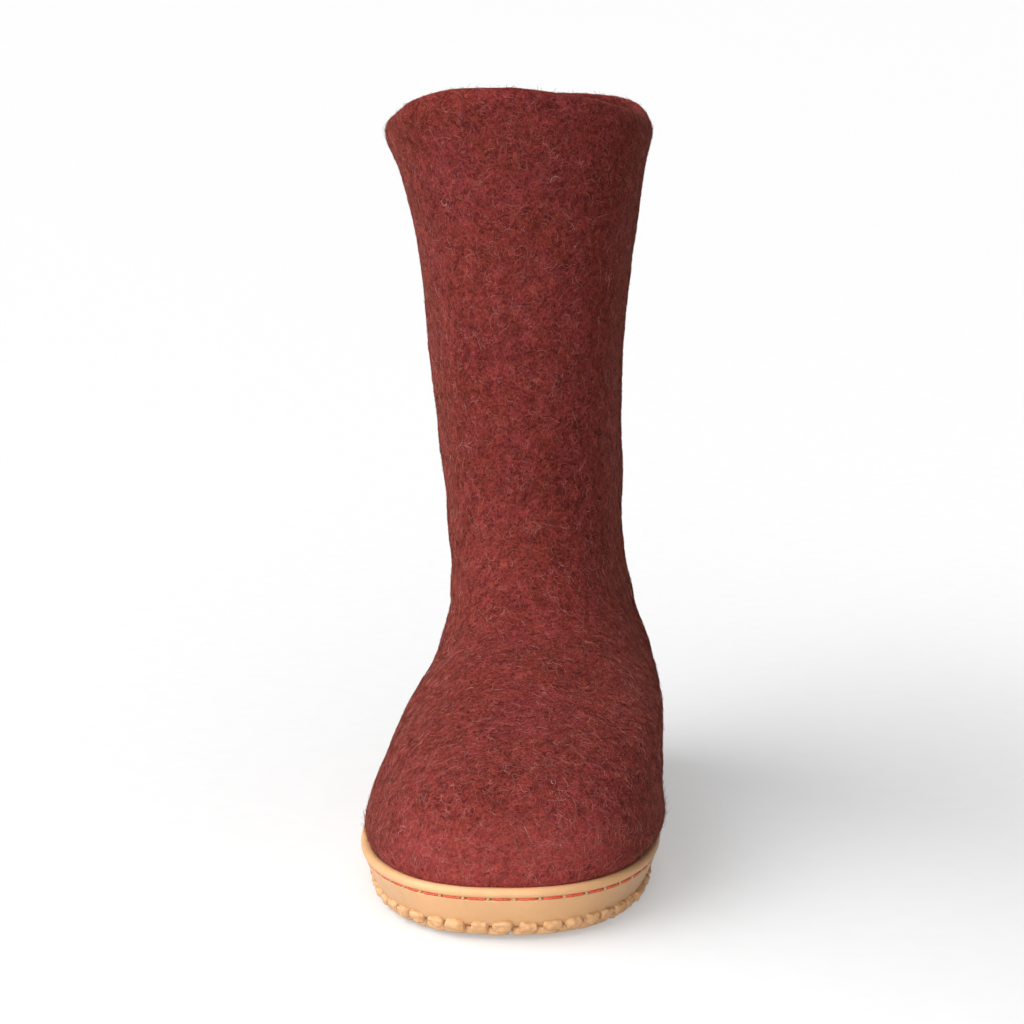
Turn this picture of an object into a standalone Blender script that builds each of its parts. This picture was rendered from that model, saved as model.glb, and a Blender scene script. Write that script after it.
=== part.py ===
"""Felted wool boot for the right foot, standing on a stitched rubber cup sole.

Metres, +Z up. The toe points to -Y and the inner side of the foot is +X. The origin is on the
floor, under the middle of the sole's length and of its ball width.
"""

import math

import bmesh
import bpy
from mathutils import Vector

# Sole sizes
SOLE_LENGTH = 0.272  # toe to heel, over the lip
BALL_WIDTH = 0.108  # over the lip, at the ball
SOLE_HEIGHT = 0.018  # floor to the top of the lip, where there is no toe spring
TOE_SPRING = 0.0018  # how far the sole's tip is off the floor
TREAD_DEPTH = 0.0025  # floor to the underside between the lugs
FLOOR_THICKNESS = 0.004  # rubber under the felt
CUP_WALL = 0.0032  # rubber beside the felt, at the lip
SIDE_SLANT = 0.0062  # how far the wall leans in from the lip to the underside
LIP_HEIGHT = 0.0036  # lip above the stitched groove
GROOVE_WIDTH = 0.0012
GROOVE_DEPTH = 0.0010
LUG_TOP = 0.0056  # floor to the top of the lugs on the side
LUG_STANDOUT = 0.0012  # lug in front of the wall
LUG_BAND = 0.0090  # width of the lug row under the edge of the sole
LUG_GAP = 0.0025  # between two lugs
TREAD_CHANNEL = 0.0015  # round each tread bar
COLUMNS = 64  # lugs round the sole, and columns of every loft

# Upper sizes
FELT_WALL = 0.0045
RIM_ROUNDING = 0.0018
FEATHER_RADIUS = 0.0060  # round under the edge of the foot
CLEARANCE = 0.0003  # between two pieces that touch
ANKLE_HEIGHT = 0.125  # floor to where the instep meets the shaft
ANKLE_WIDTH = 0.069
ANKLE_DEPTH = 0.120
ANKLE_SHIFT = 0.004  # middle of the ankle, towards the inner side
HEEL_HOLLOW = 0.009  # back of the ankle in front of the end of the lip
COLLAR_HEIGHT = 0.2825  # floor to the highest point of the collar
COLLAR_WIDTH = 0.105
COLLAR_DEPTH = 0.127
COLLAR_SHIFT = -0.0005  # middle of the collar
COLLAR_DIP = 0.0165  # highest to lowest point of the collar's edge

# Insole sizes
INSOLE_THICKNESS = 0.0035
INSOLE_GAP = 0.0008  # to the felt wall round it

# Plan of the foot. Station runs from the toe, 0, to the heel, 1. The sides are shares of half the
# ball width.
FOOTPRINT = (
    # station, outer side, inner side
    (0.00, 0.96, 1.03),
    (0.33, 1.00, 1.00),
    (0.50, 0.94, 0.95),
    (0.66, 0.76, 0.88),
    (0.82, 0.65, 0.78),
    (1.00, 0.63, 0.76),
)
BALL_STATION = 0.33
HEEL_STATION = 0.84  # where the back of the heel starts to turn
TOE_ROUNDNESS = 2.35
HEEL_ROUNDNESS = 2.2
SHAFT_ROUNDNESS = 2.2
TOE_AXIS = 0.008  # middle of the toe, as a share of the ball width
HEEL_AXIS = 0.050

# Level rings of the foot, from just above the lip to the ankle. Height is a share of the ankle's
# height, front of the way from the toe to the shaft, back of the heel hollow, and the sides go from
# the ankle, 0, to the ball, 1. Foot is 1 for the shape of the footprint and 0 for an oval.
FOOT_LEVELS = (
    # height, front, back, outer, inner, foot
    (0.192, 0.027, 0.25, 0.92, 1.075, 1.00),
    (0.256, 0.038, 0.15, 0.83, 1.050, 1.00),
    (0.328, 0.070, 0.11, 0.68, 1.070, 1.00),
    (0.392, 0.134, 0.15, 0.51, 1.070, 0.95),
    (0.448, 0.240, 0.22, 0.35, 1.050, 0.88),
    (0.512, 0.400, 0.36, 0.13, 0.930, 0.75),
    (0.584, 0.585, 0.50, -0.03, 0.630, 0.58),
    (0.672, 0.765, 0.67, -0.11, 0.350, 0.38),
    (0.776, 0.885, 0.83, -0.115, 0.115, 0.18),
    (0.880, 0.955, 0.93, -0.05, 0.000, 0.06),
    (1.000, 1.000, 1.00, 0.00, 0.000, 0.00),
)

# Level rings of the shaft. Height, width, shift and depth go from the ankle, 0, to the collar, 1.
# Back is a share of the heel hollow.
SHAFT_LEVELS = (
    # height, width, shift, depth, back
    (0.156, 0.08, 0.32, -0.21, 1.00),
    (0.406, 0.22, 0.52, -0.20, 0.90),
    (0.625, 0.43, 0.46, 0.00, 0.75),
    (0.812, 0.70, 0.79, 0.43, 0.55),
    (0.919, 0.92, 0.98, 0.79, 0.45),
    (1.000, 1.00, 1.00, 1.00, 0.40),
)

# Edge of the collar. Turn goes round from the front past the inner side, drop is a share of the dip.
COLLAR_EDGE = (
    # turn, drop
    (0.00, 0.03),
    (0.08, 0.28),
    (0.16, 0.62),
    (0.25, 0.90),
    (0.32, 0.62),
    (0.40, 0.48),
    (0.50, 0.46),
    (0.62, 0.66),
    (0.75, 1.00),
    (0.81, 0.90),
    (0.87, 0.42),
    (0.93, 0.08),
    (1.00, 0.03),
)
COLLAR_DROP_POWER = 4  # how fast the dip fades down the shaft

# Tread bars under the foot, each as wide as two lugs. Start and end are shares of the lugs along
# one side of the sole, from the toe. The sole is hollow under the arch, between the two groups.
FOREFOOT_BARS = (0.06, 0.50)
HEEL_BARS = (0.62, 0.94)

CORNER_STEPS = 3  # facets in the round under the foot
RIM_SEGMENTS = 2

FELT_COLOUR = (0.205, 0.034, 0.033, 1.0)
RUBBER_COLOUR = (0.62, 0.35, 0.15, 1.0)
INSOLE_COLOUR = (0.16, 0.035, 0.032, 1.0)

TOE_Y = -SOLE_LENGTH / 2
HEEL_Y = SOLE_LENGTH / 2
BALL_Y = TOE_Y + BALL_STATION * SOLE_LENGTH
ANKLE_BACK_Y = HEEL_Y - HEEL_HOLLOW
VAMP_LENGTH = ANKLE_BACK_Y - ANKLE_DEPTH - TOE_Y


def curve(rows, column, at):
    """A smooth curve through one column of a table, read at a value of its first column."""
    last = len(rows) - 1
    i = 0
    while i < last - 1 and at > rows[i + 1][0]:
        i += 1

    def slope(k):
        low, high = max(k - 1, 0), min(k + 1, last)
        return (rows[high][column] - rows[low][column]) / (rows[high][0] - rows[low][0])

    width = rows[i + 1][0] - rows[i][0]
    t = (at - rows[i][0]) / width
    start, end = rows[i][column], rows[i + 1][column]
    rise = width * slope(i) * t * (1 - t) ** 2 - width * slope(i + 1) * t**2 * (1 - t)
    return start + (end - start) * t**2 * (3 - 2 * t) + rise


def mix(low, high, share):
    return low + (high - low) * share


def spring(y):
    """How far the sole is off the floor at y."""
    return TOE_SPRING * (max(BALL_Y - y, 0.0) / (BALL_Y - TOE_Y)) ** 2


def foot_across(station, column):
    """Half width of the footprint at a station, as a share of its width at the ball."""
    toe = max(1 - station / BALL_STATION, 0.0)
    heel = max((station - HEEL_STATION) / (1 - HEEL_STATION), 0.0)
    toe_turn = (1 - toe**TOE_ROUNDNESS) ** (1 / TOE_ROUNDNESS)
    heel_turn = max(1 - heel**HEEL_ROUNDNESS, 0.0) ** (1 / HEEL_ROUNDNESS)
    return curve(FOOTPRINT, column, station) * toe_turn * heel_turn


def ring_point(angle, front, back, outer, inner, foot):
    """Point of a level ring. The angle is 0 at the front and turns past the inner side."""
    station = (1 - math.cos(angle)) / 2
    inner_side = math.sin(angle) >= 0
    oval = max(1 - abs(math.cos(angle)) ** SHAFT_ROUNDNESS, 0.0) ** (1 / SHAFT_ROUNDNESS)
    across = mix(oval, foot_across(station, 2 if inner_side else 1), foot)
    foot_axis = BALL_WIDTH * mix(TOE_AXIS, HEEL_AXIS, station)
    axis = mix((outer + inner) / 2, foot_axis, foot)
    side = inner if inner_side else outer
    return Vector((mix(axis, side, across), mix(front, back, station)))


def lip_point(angle):
    return ring_point(angle, TOE_Y, HEEL_Y, -BALL_WIDTH / 2, BALL_WIDTH / 2, 1.0)


def lip_normal(angle, step=0.02):
    """Outward direction of the lip's plan."""
    along = lip_point(angle + step) - lip_point(angle - step)
    return Vector((along.y, -along.x)).normalized()


def even_angles(count, samples=400):
    """Angles of points spaced evenly round the lip, the same number on each side."""
    angles = []
    for start in (0.0, math.pi):
        fine = [start + math.pi * k / samples for k in range(samples + 1)]
        lengths = [0.0]
        for a, b in zip(fine, fine[1:]):
            lengths.append(lengths[-1] + (lip_point(b) - lip_point(a)).length)
        k = 0
        for i in range(count // 2):
            wanted = lengths[-1] * i / (count // 2)
            while lengths[k + 1] < wanted:
                k += 1
            part = (wanted - lengths[k]) / (lengths[k + 1] - lengths[k])
            angles.append(mix(fine[k], fine[k + 1], part))
    return angles


ANGLES = even_angles(COLUMNS)


def sole_ring(inset, height):
    """Ring at a distance inside the lip's plan and at a height above the sole's underside curve."""
    ring = []
    for angle in ANGLES:
        flat = lip_point(angle) - lip_normal(angle) * inset
        ring.append(Vector((flat.x, flat.y, height + spring(flat.y))))
    return ring


def foot_ring(height, front, back, outer, inner, foot):
    """Ring of the felt foot, from one row of FOOT_LEVELS."""
    level = height * ANKLE_HEIGHT
    front_y = TOE_Y + front * VAMP_LENGTH
    back_y = HEEL_Y - back * HEEL_HOLLOW
    outer_x = mix(ANKLE_SHIFT - ANKLE_WIDTH / 2, -BALL_WIDTH / 2, outer)
    inner_x = mix(ANKLE_SHIFT + ANKLE_WIDTH / 2, BALL_WIDTH / 2, inner)
    ring = []
    for angle in ANGLES:
        flat = ring_point(angle, front_y, back_y, outer_x, inner_x, foot)
        ring.append(Vector((flat.x, flat.y, level + spring(flat.y) * (1 - height))))
    return ring


def shaft_ring(height, width, shift, depth, back):
    """Ring of the shaft, from one row of SHAFT_LEVELS."""
    level = mix(ANKLE_HEIGHT, COLLAR_HEIGHT, height)
    back_y = HEEL_Y - back * HEEL_HOLLOW
    front_y = back_y - mix(ANKLE_DEPTH, COLLAR_DEPTH, depth)
    middle = mix(ANKLE_SHIFT, COLLAR_SHIFT, shift)
    half = mix(ANKLE_WIDTH, COLLAR_WIDTH, width) / 2
    ring = []
    for angle in ANGLES:
        flat = ring_point(angle, front_y, back_y, middle - half, middle + half, 0.0)
        drop = COLLAR_DIP * curve(COLLAR_EDGE, 1, angle / math.tau)
        ring.append(Vector((flat.x, flat.y, level - drop * height**COLLAR_DROP_POWER)))
    return ring


def corner_rows(radius):
    """Inset and height of the round under the edge of the felt foot, at a radius about its middle."""
    floor_top = TREAD_DEPTH + FLOOR_THICKNESS
    middle_height = floor_top + CLEARANCE + FEATHER_RADIUS
    lean = SIDE_SLANT * (SOLE_HEIGHT - middle_height) / (SOLE_HEIGHT - TREAD_DEPTH)
    middle_inset = CUP_WALL + CLEARANCE + lean + FEATHER_RADIUS
    rows = []
    for k in range(CORNER_STEPS + 1):
        turn = math.pi / 2 * k / CORNER_STEPS
        rows.append((middle_inset - radius * math.sin(turn), middle_height - radius * math.cos(turn)))
    return rows


def upper_rings():
    """Rings of the felt's outside, from its flat bottom to the collar."""
    rings = [sole_ring(inset, height) for inset, height in corner_rows(FEATHER_RADIUS)]
    lip = sole_ring(CUP_WALL + CLEARANCE, SOLE_HEIGHT)
    rings.append(lip)
    rings.extend(foot_ring(*row) for row in FOOT_LEVELS)
    rings.extend(shaft_ring(*row) for row in SHAFT_LEVELS)
    return rings


def sole_rows():
    """Inset and height of the rings of the cup, from the underside over the lip to its floor."""
    slope = SIDE_SLANT / (SOLE_HEIGHT - TREAD_DEPTH)
    groove_top = SOLE_HEIGHT - LIP_HEIGHT
    groove_low = groove_top - GROOVE_WIDTH
    edge = SIDE_SLANT + CUP_WALL / 2
    lip_round = LIP_HEIGHT / 4
    outside = [
        (edge + LUG_BAND, TREAD_DEPTH),
        (edge, TREAD_DEPTH),
        (mix(edge, slope * (SOLE_HEIGHT - LUG_TOP), 0.7), mix(TREAD_DEPTH, LUG_TOP, 0.4)),
        (slope * (SOLE_HEIGHT - LUG_TOP), LUG_TOP),
        (slope * (SOLE_HEIGHT - groove_low), groove_low),
        (slope * LIP_HEIGHT + GROOVE_DEPTH, mix(groove_low, groove_top, 0.35)),
        (slope * LIP_HEIGHT + GROOVE_DEPTH, mix(groove_low, groove_top, 0.65)),
        (slope * LIP_HEIGHT / 2, groove_top),
        (0.0, SOLE_HEIGHT - 2 * lip_round),
        (lip_round / 2, SOLE_HEIGHT - lip_round / 2),
        (CUP_WALL / 2, SOLE_HEIGHT),
        (CUP_WALL, SOLE_HEIGHT - lip_round / 2),
    ]
    inside = corner_rows(FEATHER_RADIUS + CLEARANCE)
    return outside + inside[::-1]


def new_loft(mesh, rings, close_start, close_end):
    """Faces between the rings, outside out, with rungs across the first and the last if asked."""
    loops = [[mesh.verts.new(point) for point in ring] for ring in rings]
    for low, high in zip(loops, loops[1:]):
        for i in range(COLUMNS):
            j = (i + 1) % COLUMNS
            mesh.faces.new((low[i], low[j], high[j], high[i]))
    if close_start:
        rungs(mesh, loops[0], False)
    if close_end:
        rungs(mesh, loops[-1], True)
    return loops


def rungs(mesh, loop, upwards):
    """Faces across a closed loop, from its inner side to its outer side."""
    half = COLUMNS // 2
    for i in range(half):
        corners = [loop[i], loop[i + 1], loop[(COLUMNS - i - 1) % COLUMNS], loop[-i]]
        corners = list(dict.fromkeys(corners))
        mesh.faces.new(corners if upwards else corners[::-1])


def new_object(name, mesh, material_name, colour, roughness):
    """An object in the boot's collection, from a bmesh, with a material of its own."""
    data = bpy.data.meshes.new(name)
    bmesh.ops.recalc_face_normals(mesh, faces=mesh.faces)
    mesh.to_mesh(data)
    mesh.free()
    data.shade_smooth()
    data.set_sharp_from_angle(angle=math.radians(40))
    made = bpy.data.objects.new(name, data)
    bpy.data.collections["felt_boot"].objects.link(made)
    material = bpy.data.materials.new(material_name)
    material.use_nodes = True
    shader = material.node_tree.nodes["Principled BSDF"]
    shader.inputs["Base Color"].default_value = colour
    shader.inputs["Roughness"].default_value = roughness
    shader.inputs["Metallic"].default_value = 0.0
    data.materials.append(material)
    return made


def make_upper():
    """The felt, felted whole: foot and shaft are one wall, closed under the foot."""
    mesh = bmesh.new()
    new_loft(mesh, upper_rings(), close_start=True, close_end=False)
    upper = new_object("upper", mesh, "wool_felt", FELT_COLOUR, 0.95)
    wall = upper.modifiers.new("felt_wall", "SOLIDIFY")
    wall.thickness = FELT_WALL
    wall.offset = -1.0
    wall.use_even_offset = True
    rim = upper.modifiers.new("collar_rounding", "BEVEL")
    rim.width = RIM_ROUNDING
    rim.segments = RIM_SEGMENTS
    rim.limit_method = "ANGLE"
    rim.angle_limit = math.radians(55)
    return upper


def raise_lug(mesh, faces, angle):
    """One lug of the edge: the faces are drawn in by half a gap and pushed out and down."""
    bmesh.ops.inset_region(mesh, faces=faces, thickness=LUG_GAP / 2, use_even_offset=True)
    outward = lip_normal(angle)
    foot = lip_point(angle)
    pushed = bmesh.ops.extrude_face_region(mesh, geom=faces)
    bmesh.ops.delete(mesh, geom=faces, context="FACES_ONLY")
    verts = [item for item in pushed["geom"] if isinstance(item, bmesh.types.BMVert)]
    edge = SIDE_SLANT + CUP_WALL / 2
    for vert in verts:
        flat = Vector((vert.co.x, vert.co.y))
        lift = spring(vert.co.y)
        rise = (vert.co.z - lift - TREAD_DEPTH) / (LUG_TOP - TREAD_DEPTH)
        drop = TREAD_DEPTH * (1 - min(max(rise, 0.0), 1.0)) ** 2
        inset = (foot - flat).dot(outward)
        out = LUG_STANDOUT if inset < edge + LUG_BAND / 2 else 0.0
        flat += outward * out
        vert.co = Vector((flat.x, flat.y, vert.co.z - lift - drop + spring(flat.y)))


def lower_bar(mesh, faces):
    """A tread bar: the faces are drawn in by the channel and lowered to the floor."""
    bmesh.ops.inset_region(mesh, faces=faces, thickness=TREAD_CHANNEL, use_even_offset=True)
    pushed = bmesh.ops.extrude_face_region(mesh, geom=faces)
    bmesh.ops.delete(mesh, geom=faces, context="FACES_ONLY")
    for item in pushed["geom"]:
        if isinstance(item, bmesh.types.BMVert):
            item.co.z = spring(item.co.y)


def make_outsole():
    """The rubber cup: floor, stitched wall and lip, with a row of lugs and the tread."""
    mesh = bmesh.new()
    rings = [sole_ring(inset, height) for inset, height in sole_rows()]
    new_loft(mesh, rings, close_start=True, close_end=True)
    bmesh.ops.recalc_face_normals(mesh, faces=mesh.faces)
    mesh.faces.ensure_lookup_table()
    band_rows = 3
    columns = [
        [mesh.faces[row * COLUMNS + i] for row in range(band_rows)] for i in range(COLUMNS)
    ]
    first_rung = (len(rings) - 1) * COLUMNS
    bars = []
    for start, end in (FOREFOOT_BARS, HEEL_BARS):
        first, last = (round(COLUMNS / 2 * share) for share in (start, end))
        for rung in range(first_rung + first, first_rung + last - 1, 2):
            bars.append([mesh.faces[rung], mesh.faces[rung + 1]])
    for bar in bars:
        lower_bar(mesh, bar)
    for i, faces in enumerate(columns):
        following = ANGLES[i + 1] if i + 1 < COLUMNS else math.tau
        raise_lug(mesh, faces, (ANGLES[i] + following) / 2)
    return new_object("outsole", mesh, "rubber", RUBBER_COLOUR, 0.5)


def make_insole():
    """The loose felt insole, lying on the felt inside the foot."""
    middle_inset, middle_height = corner_rows(0.0)[0]
    under = corner_rows(FEATHER_RADIUS)[0][1] + FELT_WALL + CLEARANCE
    side = middle_inset - (FEATHER_RADIUS - FELT_WALL) + INSOLE_GAP
    rounding = INSOLE_THICKNESS / 4
    rows = [
        (middle_inset, under),
        (side, under + rounding),
        (side, under + INSOLE_THICKNESS - rounding),
        (side + rounding, under + INSOLE_THICKNESS),
    ]
    mesh = bmesh.new()
    new_loft(mesh, [sole_ring(inset, height) for inset, height in rows], True, True)
    return new_object("insole", mesh, "insole_felt", INSOLE_COLOUR, 0.95)


def main():
    for old in list(bpy.data.objects):
        bpy.data.objects.remove(old, do_unlink=True)
    boot = bpy.data.collections.new("felt_boot")
    bpy.context.scene.collection.children.link(boot)
    make_outsole()
    make_upper()
    make_insole()


main()
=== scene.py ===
import math

import bpy
import numpy as np
from mathutils import Matrix, Vector, noise


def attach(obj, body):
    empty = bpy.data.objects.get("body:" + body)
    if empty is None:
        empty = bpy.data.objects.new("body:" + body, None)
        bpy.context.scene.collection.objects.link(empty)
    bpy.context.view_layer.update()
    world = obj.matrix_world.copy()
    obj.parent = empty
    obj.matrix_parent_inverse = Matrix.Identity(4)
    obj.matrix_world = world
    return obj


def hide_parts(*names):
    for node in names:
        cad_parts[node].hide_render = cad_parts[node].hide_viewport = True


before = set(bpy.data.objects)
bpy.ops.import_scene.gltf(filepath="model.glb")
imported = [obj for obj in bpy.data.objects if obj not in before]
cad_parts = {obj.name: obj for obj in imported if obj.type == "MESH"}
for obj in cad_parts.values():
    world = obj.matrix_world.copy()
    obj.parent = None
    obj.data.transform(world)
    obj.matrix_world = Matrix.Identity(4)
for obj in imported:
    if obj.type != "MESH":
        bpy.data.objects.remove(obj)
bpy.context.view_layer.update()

# Sizes of the boot, as in the solids
SOLE_LENGTH = 0.272
BALL_WIDTH = 0.108
SOLE_HEIGHT = 0.018
TOE_SPRING = 0.0018
TREAD_DEPTH = 0.0025
FLOOR_THICKNESS = 0.004
CUP_WALL = 0.0032
SIDE_SLANT = 0.0062
GROOVE_WIDTH = 0.0012
GROOVE_DEPTH = 0.0010
FELT_WALL = 0.0045
FEATHER_RADIUS = 0.0060
CLEARANCE = 0.0003
ANKLE_HEIGHT = 0.125
ANKLE_WIDTH = 0.069
ANKLE_DEPTH = 0.120
ANKLE_SHIFT = 0.004
HEEL_HOLLOW = 0.009
COLLAR_HEIGHT = 0.2825
COLLAR_WIDTH = 0.105
COLLAR_DEPTH = 0.127
COLLAR_SHIFT = -0.0005
COLLAR_DIP = 0.0165
COLLAR_DROP_POWER = 4
INSOLE_THICKNESS = 0.0035
INSOLE_GAP = 0.0008

# Plan of the foot: station from the toe, outer and inner side as shares of half the ball width
FOOTPRINT = np.array((
    (0.00, 0.96, 1.03),
    (0.33, 1.00, 1.00),
    (0.50, 0.94, 0.95),
    (0.66, 0.76, 0.88),
    (0.82, 0.65, 0.78),
    (1.00, 0.63, 0.76),
))
BALL_STATION = 0.33
HEEL_STATION = 0.84
TOE_ROUNDNESS = 2.35
HEEL_ROUNDNESS = 2.2
SHAFT_ROUNDNESS = 2.2
TOE_AXIS = 0.008
HEEL_AXIS = 0.050

# Level rings of the foot: height, front, back, outer, inner, foot
FOOT_LEVELS = (
    (0.192, 0.027, 0.25, 0.92, 1.075, 1.00),
    (0.256, 0.038, 0.15, 0.83, 1.050, 1.00),
    (0.328, 0.070, 0.11, 0.68, 1.070, 1.00),
    (0.392, 0.134, 0.15, 0.51, 1.070, 0.95),
    (0.448, 0.240, 0.22, 0.35, 1.050, 0.88),
    (0.512, 0.400, 0.36, 0.13, 0.930, 0.75),
    (0.584, 0.585, 0.50, -0.03, 0.630, 0.58),
    (0.672, 0.765, 0.67, -0.11, 0.350, 0.38),
    (0.776, 0.885, 0.83, -0.115, 0.115, 0.18),
    (0.880, 0.955, 0.93, -0.05, 0.000, 0.06),
    (1.000, 1.000, 1.00, 0.00, 0.000, 0.00),
)

# Level rings of the shaft: height, width, shift, depth, back
SHAFT_LEVELS = (
    (0.156, 0.08, 0.32, -0.21, 1.00),
    (0.406, 0.22, 0.52, -0.20, 0.90),
    (0.625, 0.43, 0.46, 0.00, 0.75),
    (0.812, 0.70, 0.79, 0.43, 0.55),
    (0.919, 0.92, 0.98, 0.79, 0.45),
    (1.000, 1.00, 1.00, 1.00, 0.40),
)

# Edge of the collar, less low at the outer corner than in the solids:
# turn from the front past the inner side, drop as a share of the dip
COLLAR_EDGE = np.array((
    (0.00, 0.03),
    (0.08, 0.28),
    (0.16, 0.62),
    (0.25, 0.90),
    (0.32, 0.62),
    (0.40, 0.48),
    (0.50, 0.46),
    (0.62, 0.60),
    (0.75, 0.86),
    (0.81, 0.74),
    (0.87, 0.34),
    (0.93, 0.08),
    (1.00, 0.03),
))

# Lip of the sole, a little lower than in the solids
LIP_HEIGHT = 0.0032

# Section of the lip: inset as a share of the wall, height as a share of the lip
LIP_PROFILE = (
    (0.19, 0.02), (0.08, 0.10), (0.02, 0.24), (0.00, 0.42), (0.05, 0.62), (0.16, 0.79), (0.33, 0.92),
    (0.54, 0.985), (0.74, 0.99), (0.92, 0.94), (1.04, 0.84), (1.09, 0.66),
)

TOE_Y = -SOLE_LENGTH / 2
HEEL_Y = SOLE_LENGTH / 2
BALL_Y = TOE_Y + BALL_STATION * SOLE_LENGTH
ANKLE_BACK_Y = HEEL_Y - HEEL_HOLLOW
VAMP_LENGTH = ANKLE_BACK_Y - ANKLE_DEPTH - TOE_Y

# Fineness of the meshes
FELT_COLUMNS = 256
FELT_ROW = 0.0021
LINING_ROW = 0.0042
RIM_ROWS = 8
SOLE_COLUMNS = 540
INSOLE_COLUMNS = 144

# Rows of the felt with fibres: the first outside, how many of the lining,
# and how many at the collar's edge with shorter ones
FIRST_HAIRY_ROW = 7
HAIRY_LINING_ROWS = 3
SHORT_HAIR_ROWS = RIM_ROWS - 1 + HAIRY_LINING_ROWS + 2

# Lumps of the felt: size of a lump, height
LUMPS = ((0.026, 0.00060), (0.010, 0.00030), (0.0042, 0.00016), (0.0021, 0.00007))

# Where the lumps start above the sole, and over what height they grow to their full size
LUMPS_START = 0.001
LUMPS_REACH = 0.008

# Felt that bulges over the lip: how far, and how high above the lip
LIP_SWELL = 0.0009
LIP_SWELL_REACH = 0.0032

# Edge of the collar that rounds inwards: over what height, and how far
EDGE_ROUND = 0.0058
EDGE_FOLD = 0.0020

# Creases: height at the middle, rise across, half width, depth, turn of the middle, reach
CREASES = (
    (0.0860, 0.10, 0.0060, -0.0014, 0.00, 0.95),
    (0.0980, 0.06, 0.0070, 0.0007, 0.10, 0.90),
    (0.0745, 0.08, 0.0060, 0.0008, -0.10, 0.90),
    (0.0430, 0.03, 0.0048, -0.0010, 0.00, 0.70),
    (0.0520, 0.05, 0.0055, 0.0006, 0.05, 0.80),
    (0.0300, 0.00, 0.0060, 0.0009, 0.00, 0.75),
    (0.0950, -0.10, 0.0050, -0.0011, 3.14, 0.80),
    (0.0830, -0.06, 0.0060, 0.0007, 3.14, 0.80),
    (0.0900, 0.25, 0.0045, -0.0009, -1.35, 0.45),
    (0.0760, 0.30, 0.0045, -0.0006, -1.25, 0.40),
    (0.0880, -0.25, 0.0045, -0.0008, 1.40, 0.45),
    (0.1500, 0.10, 0.0140, -0.0006, -0.70, 0.60),
    (0.1950, -0.08, 0.0160, 0.0006, 0.50, 0.80),
)

# Loose fibres: name, count, colour, length, width, lift, curl, parts, density at the toe
FIBRES = (
    ("fibres_rose", 19000, (0.190, 0.040, 0.036), 0.0048, 0.00011, 0.00028, 3.0, 5, 1.7),
    ("fibres_dark", 12000, (0.044, 0.0080, 0.0080), 0.0032, 0.00013, 0.00014, 2.2, 3, 0.4),
    ("fibres_orange", 12000, (0.19, 0.034, 0.021), 0.0036, 0.00011, 0.00022, 2.6, 4, 0.8),
    ("fibres_pale", 10000, (0.250, 0.105, 0.094), 0.0046, 0.00009, 0.00030, 3.2, 5, 1.6),
    ("fibres_fuzz", 44000, (0.230, 0.062, 0.040), 0.0012, 0.00012, 0.00065, 1.2, 2, 1.0),
    ("fibres_white", 70, (0.50, 0.38, 0.34), 0.0056, 0.00007, 0.00080, 2.4, 8, 1.5),
)

# Fewer dark fibres on the toe cap smooth its look; more pale, rose and white ones there add to its painted
# highlight.
# Toe cap, where the fibres have their density at the toe: length, length of its fade, height
TOE_CAP_LENGTH = 0.060
TOE_CAP_FADE = 0.03
TOE_CAP_HEIGHT = 0.06

# Length of the fibres at the collar's edge, as a share of the others
EDGE_FIBRE_LENGTH = 0.62

# How far a fibre's root stands off the felt
FIBRE_GAP = 0.00002

# Stitches, the rubber bridges between them, and the holes beside the bridges, drawn as small dark blocks:
# painted shade
STITCH_PITCH = 0.0090
STITCH_LENGTH = 0.0080
STITCH_DIVE = 0.0007
STITCH_PARTS = 12
STITCH_AROUND = 8
THREAD_RADIUS = 0.00041
BRIDGE_LENGTH = 0.0013
BRIDGE_DEPTH = 0.0014
BRIDGE_INSET = 0.0006
HOLE_RADIUS = 0.00024
HOLE_INSET = 0.00035

# Share of the holes that is left out
HOLES_HIDDEN = 0.4

# Wall of the sole: power of its bulge, round at the underside, rows of its mesh
WALL_BULGE = 1.45
UNDER_BEND = 0.0016
WALL_ROWS = 9

# Section of the groove from its low edge, then from its top edge: distance inwards, height
GROOVE_LOW_PROFILE = (
    (0.00002, -0.0001), (0.00022, 0.0001), (GROOVE_DEPTH * 0.8, 0.00035), (GROOVE_DEPTH, 0.0006),
)
GROOVE_TOP_PROFILE = ((GROOVE_DEPTH * 0.8, -0.0003), (0.00025, -0.00005))

# Slight waves in the rubber: size of a wave, height, shift of the noise
SOLE_WAVES = ((0.03, 0.00022, 9.0), (0.008, 0.00009, 3.0))

# Lugs at the edge, the small ones between them and the flat steps under them
LUG_PITCH = 0.0094
LUG_WIDTH = 0.0064
LUG_HEIGHT = 0.0037
LUG_DEPTH = 0.0036
LUG_STANDOUT = 0.0017
LUG_SHIFT = 0.0008
SMALL_LUG_OFFSET = 0.0034
STEP_HEIGHT = 0.0013
STEP_DEPTH = 0.0115
STEP_STANDOUT = 0.0014
STEP_SHIFT = (0.0008, 0.0020)
STEP_TUCK = 0.0004

# Height above the floor that no lug or step goes below
LOWEST = 0.00005

# Crumpled skin of the lugs: size of a dent and its depth, size of a lump and its height
DENT_SIZE = 0.0022
DENT_DEPTH = 0.00062
LUG_LUMP_SIZE = 0.0045
LUG_LUMP_HEIGHT = 0.00035

# Tread blocks: where they start and end along the sole, half their width and half their length
TREAD_SPANS = ((-0.112, -0.010), (0.040, 0.104))
TREAD_BLOCK = (0.0042, 0.0050)
TREAD_ROW = 0.0125
TREAD_COLUMN = 0.0105
TREAD_MARGIN = 0.0185
TREAD_NARROWEST = 0.006
TREAD_STAGGER = 0.18
TREAD_TUCK = 0.0002

# Rings on top of the insole, as distances from its side
INSOLE_INSETS = (0.004, 0.008, 0.012)

SEED = 11
UP = np.array((0.0, 0.0, 1.0))


def mix(low, high, share):
    return low + (high - low) * share


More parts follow.
